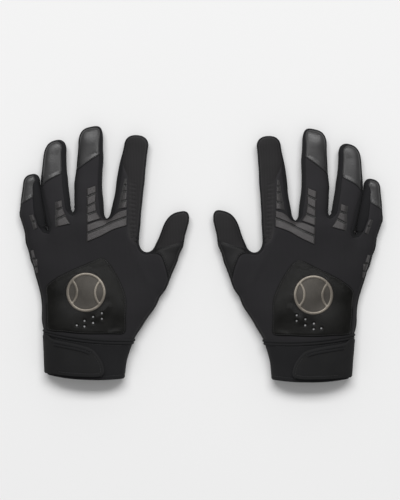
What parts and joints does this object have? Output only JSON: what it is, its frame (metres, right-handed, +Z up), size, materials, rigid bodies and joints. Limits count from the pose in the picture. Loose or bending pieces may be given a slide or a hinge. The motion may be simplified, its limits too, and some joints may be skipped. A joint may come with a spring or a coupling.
{
  "type": "batting gloves",
  "caption": "Left and right batting gloves lying palm down, with leather palms, knit backs, flex bars, a badge panel and a hook-and-loop wrist strap",
  "frame": {"origin": "centre of the bounding box, on the surface the gloves lie on", "axes": "+Y towards the fingertips, +X across the pair from the left glove to the right glove, +Z up from the palms to the backs of the hands"},
  "size_m": [0.3266, 0.2304, 0.0294],
  "materials": {
    "knit": "matte black stretch knit",
    "leather": "black goatskin, soft sheen",
    "bars": "satin dark grey moulded bars",
    "badge": "smooth coated black leather",
    "emblem": "satin bronze-grey transfer",
    "cuff": "matte black neoprene and webbing"
  },
  "bodies": {
    "left_glove": {"left_back_panel": "knit", "left_index_back_panel": "knit", "left_thumb_back_panel": "knit", "left_thumb_leather": "leather", "left_little_fingertip": "leather", "left_ring_fingertip": "leather", "left_middle_fingertip": "leather", "left_little_ring_side_strip": "knit", "left_ring_middle_side_strip": "knit", "left_middle_index_side_strip": "knit", "left_index_thumb_side_strip": "knit", "left_palm_panel": "leather", "left_middle_flex_bars": "bars", "left_ring_flex_bars": "bars", "left_little_flex_bars": "bars", "left_index_flex_bars": "bars", "left_knuckle_bands": "bars", "left_edge_flex_bars": "bars", "left_badge_panel": "badge", "left_ball_emblem": "emblem", "left_cuff_band": "cuff", "left_cuff_binding": "cuff", "left_loop_patch": "cuff", "left_strap_anchor": "cuff"},
    "right_glove": {"right_back_panel": "knit", "right_index_back_panel": "knit", "right_thumb_back_panel": "knit", "right_thumb_leather": "leather", "right_little_fingertip": "leather", "right_ring_fingertip": "leather", "right_middle_fingertip": "leather", "right_little_ring_side_strip": "knit", "right_ring_middle_side_strip": "knit", "right_middle_index_side_strip": "knit", "right_index_thumb_side_strip": "knit", "right_palm_panel": "leather", "right_middle_flex_bars": "bars", "right_ring_flex_bars": "bars", "right_little_flex_bars": "bars", "right_index_flex_bars": "bars", "right_knuckle_bands": "bars", "right_edge_flex_bars": "bars", "right_badge_panel": "badge", "right_ball_emblem": "emblem", "right_cuff_band": "cuff", "right_cuff_binding": "cuff", "right_loop_patch": "cuff", "right_strap_anchor": "cuff"},
    "left_strap": {"left_strap": "cuff", "left_strap_piping": "cuff", "left_hook_patch": "cuff"},
    "right_strap": {"right_strap": "cuff", "right_strap_piping": "cuff", "right_hook_patch": "cuff"}
  },
  "joints": [
    {"name": "left_strap_peel", "type": "hinge", "parent": "left_glove", "child": "left_strap", "pos_m": [-0.13214, -0.09129, 0.02105], "axis": [-0.0192, -0.9998, 0], "range_deg": [0, 150]},
    {"name": "right_glove_lift", "type": "slide", "parent": "left_glove", "child": "right_glove", "axis": [0, 0, 1], "range_m": [0, 0.08]},
    {"name": "right_strap_peel", "type": "hinge", "parent": "right_glove", "child": "right_strap", "pos_m": [0.12725, -0.09476, 0.02105], "axis": [0.0192, 0.9998, 0], "range_deg": [0, 150]}
  ]
}
